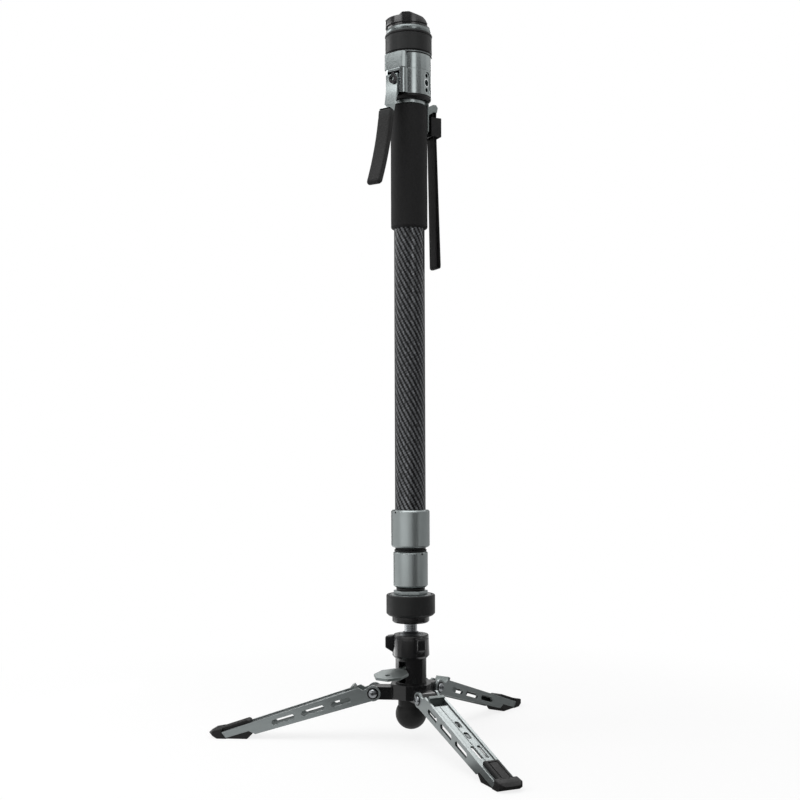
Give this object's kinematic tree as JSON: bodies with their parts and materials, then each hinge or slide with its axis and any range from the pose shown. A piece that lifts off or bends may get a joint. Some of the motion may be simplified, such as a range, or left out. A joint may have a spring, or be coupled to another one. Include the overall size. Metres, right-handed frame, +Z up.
{
  "type": "camera monopod",
  "caption": "Telescoping carbon pole with foam grip, squeeze lever and quick coupling on a ball jointed base with fold-up legs, pedal and rubber feet.",
  "frame": {"origin": "on the floor, under the pole axis, in the plane of the three soles", "axes": "+Z up along the pole, -Y towards the squeeze lever and the pedal, +X towards the accessory thread"},
  "size_m": [0.3782, 0.3293, 0.7536],
  "materials": {
    "satin_alloy": "grey anodised, satin",
    "bright_alloy": "clear anodised, satin",
    "black_alloy": "black anodised",
    "leg_alloy": "grey anodised, satin",
    "lock_rubber": "moulded, matt",
    "foot_rubber": "moulded, matt",
    "grip_foam": "closed cell foam, matt",
    "carbon": "twill carbon under clear resin",
    "nylon": "moulded nylon",
    "steel": "turned steel",
    "webbing": "woven strap",
    "buckle": "moulded"
  },
  "bodies": {
    "base": {"hub": "black_alloy", "column": "black_alloy", "ball_foot": "foot_rubber", "pedal_pin": "steel", "leg_hinge_screws": "steel"},
    "pedal": {"pedal": "satin_alloy"},
    "brake": {"brake_plunger": "steel"},
    "wing_lock": {"wing_collar": "black_alloy"},
    "pan_cup": {"ball_seat": "nylon"},
    "swivel": {"ball_stud": "steel", "ball_dome": "black_alloy", "base_socket": "black_alloy", "tube_plug": "bright_alloy", "plug_seal": "lock_rubber", "inner_tube": "carbon", "inner_bush": "nylon"},
    "base_ring": {"base_ring_core": "satin_alloy", "base_ring_rubber": "lock_rubber"},
    "middle": {"middle_tube": "carbon", "middle_bush": "nylon", "lower_collet": "nylon", "lower_gasket": "lock_rubber"},
    "lower_lock": {"lower_collar": "satin_alloy"},
    "upper": {"outer_tube": "carbon", "upper_collar": "satin_alloy", "upper_collet": "nylon", "upper_wiper": "lock_rubber", "foam_grip": "grip_foam", "neck_collar": "bright_alloy", "head_seal_ring": "black_alloy", "strap_lug": "satin_alloy", "head_lower_housing": "satin_alloy", "head_upper_housing": "satin_alloy", "accessory_insert": "bright_alloy", "lever_pin": "steel", "top_lower_trim": "bright_alloy", "top_crown": "black_alloy", "top_trim_ring": "bright_alloy"},
    "lever": {"lever_arm": "satin_alloy", "lever_grip": "lock_rubber"},
    "release": {"release_rod": "steel"},
    "lever_latch": {"lever_catch": "black_alloy"},
    "top_ring": {"top_ring_core": "black_alloy", "top_ring_rubber": "lock_rubber"},
    "jaw_1": {"clutch_jaw_1": "steel"},
    "jaw_2": {"clutch_jaw_2": "steel"},
    "jaw_3": {"clutch_jaw_3": "steel"},
    "strap": {"strap_loop": "webbing", "strap_buckle": "buckle"},
    "leg_back": {"leg_back": "leg_alloy", "foot_back": "foot_rubber"},
    "leg_left": {"leg_left": "leg_alloy", "foot_left": "foot_rubber"},
    "leg_right": {"leg_right": "leg_alloy", "foot_right": "foot_rubber"},
    "catch_back": {"catch_back": "bright_alloy"},
    "catch_left": {"catch_left": "bright_alloy"},
    "catch_right": {"catch_right": "bright_alloy"}
  },
  "joints": [
    {"name": "pedal_press", "type": "hinge", "parent": "base", "child": "pedal", "pos_m": [0, -0.009, 0.0757], "axis": [1, 0, 0], "range_deg": [0, 8], "stiffness_Nm_per_rad": 3, "springref_deg": -5.73},
    {"name": "brake_lift", "type": "slide", "parent": "base", "child": "brake", "axis": [0, 0, 1], "range_m": [0, 0.0014]},
    {"name": "wing_turn", "type": "hinge", "parent": "base", "child": "wing_lock", "pos_m": [0, 0, 0.087], "axis": [0, 0, 1], "range_deg": [0, 60]},
    {"name": "pan_turn", "type": "hinge", "parent": "base", "child": "pan_cup", "pos_m": [0, 0, 0.098], "axis": [0, 0, 1], "continuous": true},
    {"name": "ball_tilt", "type": "hinge", "parent": "pan_cup", "child": "swivel", "pos_m": [0, 0, 0.098], "axis": [1, 0, 0], "range_deg": [-20, 0]},
    {"name": "base_ring_turn", "type": "hinge", "parent": "swivel", "child": "base_ring", "pos_m": [0, 0, 0.1305], "axis": [0, 0, 1], "range_deg": [0, 60]},
    {"name": "middle_slide", "type": "slide", "parent": "swivel", "child": "middle", "axis": [0, 0, 1], "range_m": [0, 0.38]},
    {"name": "lower_collar_turn", "type": "hinge", "parent": "middle", "child": "lower_lock", "pos_m": [0, 0, 0.161], "axis": [0, 0, 1], "range_deg": [0, 90]},
    {"name": "upper_slide", "type": "slide", "parent": "middle", "child": "upper", "axis": [0, 0, 1], "range_m": [0, 0.38]},
    {"name": "lever_squeeze", "type": "hinge", "parent": "upper", "child": "lever", "pos_m": [0, -0.0256, 0.684], "axis": [1, 0, 0], "range_deg": [0, 12], "stiffness_Nm_per_rad": 3, "springref_deg": -5.73},
    {"name": "release_pull", "type": "slide", "parent": "upper", "child": "release", "axis": [0, 0, 1], "range_m": [0, 0.0012]},
    {"name": "lever_latch_swing", "type": "hinge", "parent": "lever", "child": "lever_latch", "pos_m": [0.0032, -0.0312, 0.6874], "axis": [0, -1, 0], "range_deg": [0, 80]},
    {"name": "top_ring_turn", "type": "hinge", "parent": "upper", "child": "top_ring", "pos_m": [0, 0, 0.721], "axis": [0, 0, 1], "range_deg": [0, 60]},
    {"name": "strap_swing", "type": "hinge", "parent": "upper", "child": "strap", "pos_m": [0.013, 0.02252, 0.6595], "axis": [0.866, -0.5, 0], "range_deg": [0, 70]},
    {"name": "jaw_1_slide", "type": "slide", "parent": "upper", "child": "jaw_1", "axis": [0.342, -0.9397, 0], "range_m": [0, 0.0025]},
    {"name": "jaw_2_slide", "type": "slide", "parent": "upper", "child": "jaw_2", "axis": [0.6428, 0.766, 0], "range_m": [0, 0.0025]},
    {"name": "jaw_3_slide", "type": "slide", "parent": "upper", "child": "jaw_3", "axis": [-0.9848, 0.1736, 0], "range_m": [0, 0.0025]},
    {"name": "leg_back_fold", "type": "hinge", "parent": "base", "child": "leg_back", "pos_m": [0, 0.039, 0.05], "axis": [1, 0, 0], "range_deg": [0, 105]},
    {"name": "catch_back_slide", "type": "slide", "parent": "leg_back", "child": "catch_back", "axis": [0, 0.9538, -0.3006], "range_m": [0, 0.003], "stiffness_N_per_m": 400, "springref_m": -0.003},
    {"name": "leg_left_fold", "type": "hinge", "parent": "base", "child": "leg_left", "pos_m": [-0.03377, -0.0195, 0.05], "axis": [-0.5, 0.866, 0], "range_deg": [0, 105]},
    {"name": "catch_left_slide", "type": "slide", "parent": "leg_left", "child": "catch_left", "axis": [-0.826, -0.4769, -0.3006], "range_m": [0, 0.003], "stiffness_N_per_m": 400, "springref_m": -0.003},
    {"name": "leg_right_fold", "type": "hinge", "parent": "base", "child": "leg_right", "pos_m": [0.03377, -0.0195, 0.05], "axis": [-0.5, -0.866, 0], "range_deg": [0, 105]},
    {"name": "catch_right_slide", "type": "slide", "parent": "leg_right", "child": "catch_right", "axis": [0.826, -0.4769, -0.3006], "range_m": [0, 0.003], "stiffness_N_per_m": 400, "springref_m": -0.003}
  ],
  "couplings": [
    {"joint": "brake_lift", "follows": "pedal_press", "m_per_rad": 0.0095},
    {"joint": "release_pull", "follows": "lever_squeeze", "m_per_rad": 0.005},
    {"joint": "jaw_1_slide", "follows": "top_ring_turn", "m_per_rad": 0.0022918},
    {"joint": "jaw_2_slide", "follows": "top_ring_turn", "m_per_rad": 0.0022918},
    {"joint": "jaw_3_slide", "follows": "top_ring_turn", "m_per_rad": 0.0022918}
  ]
}
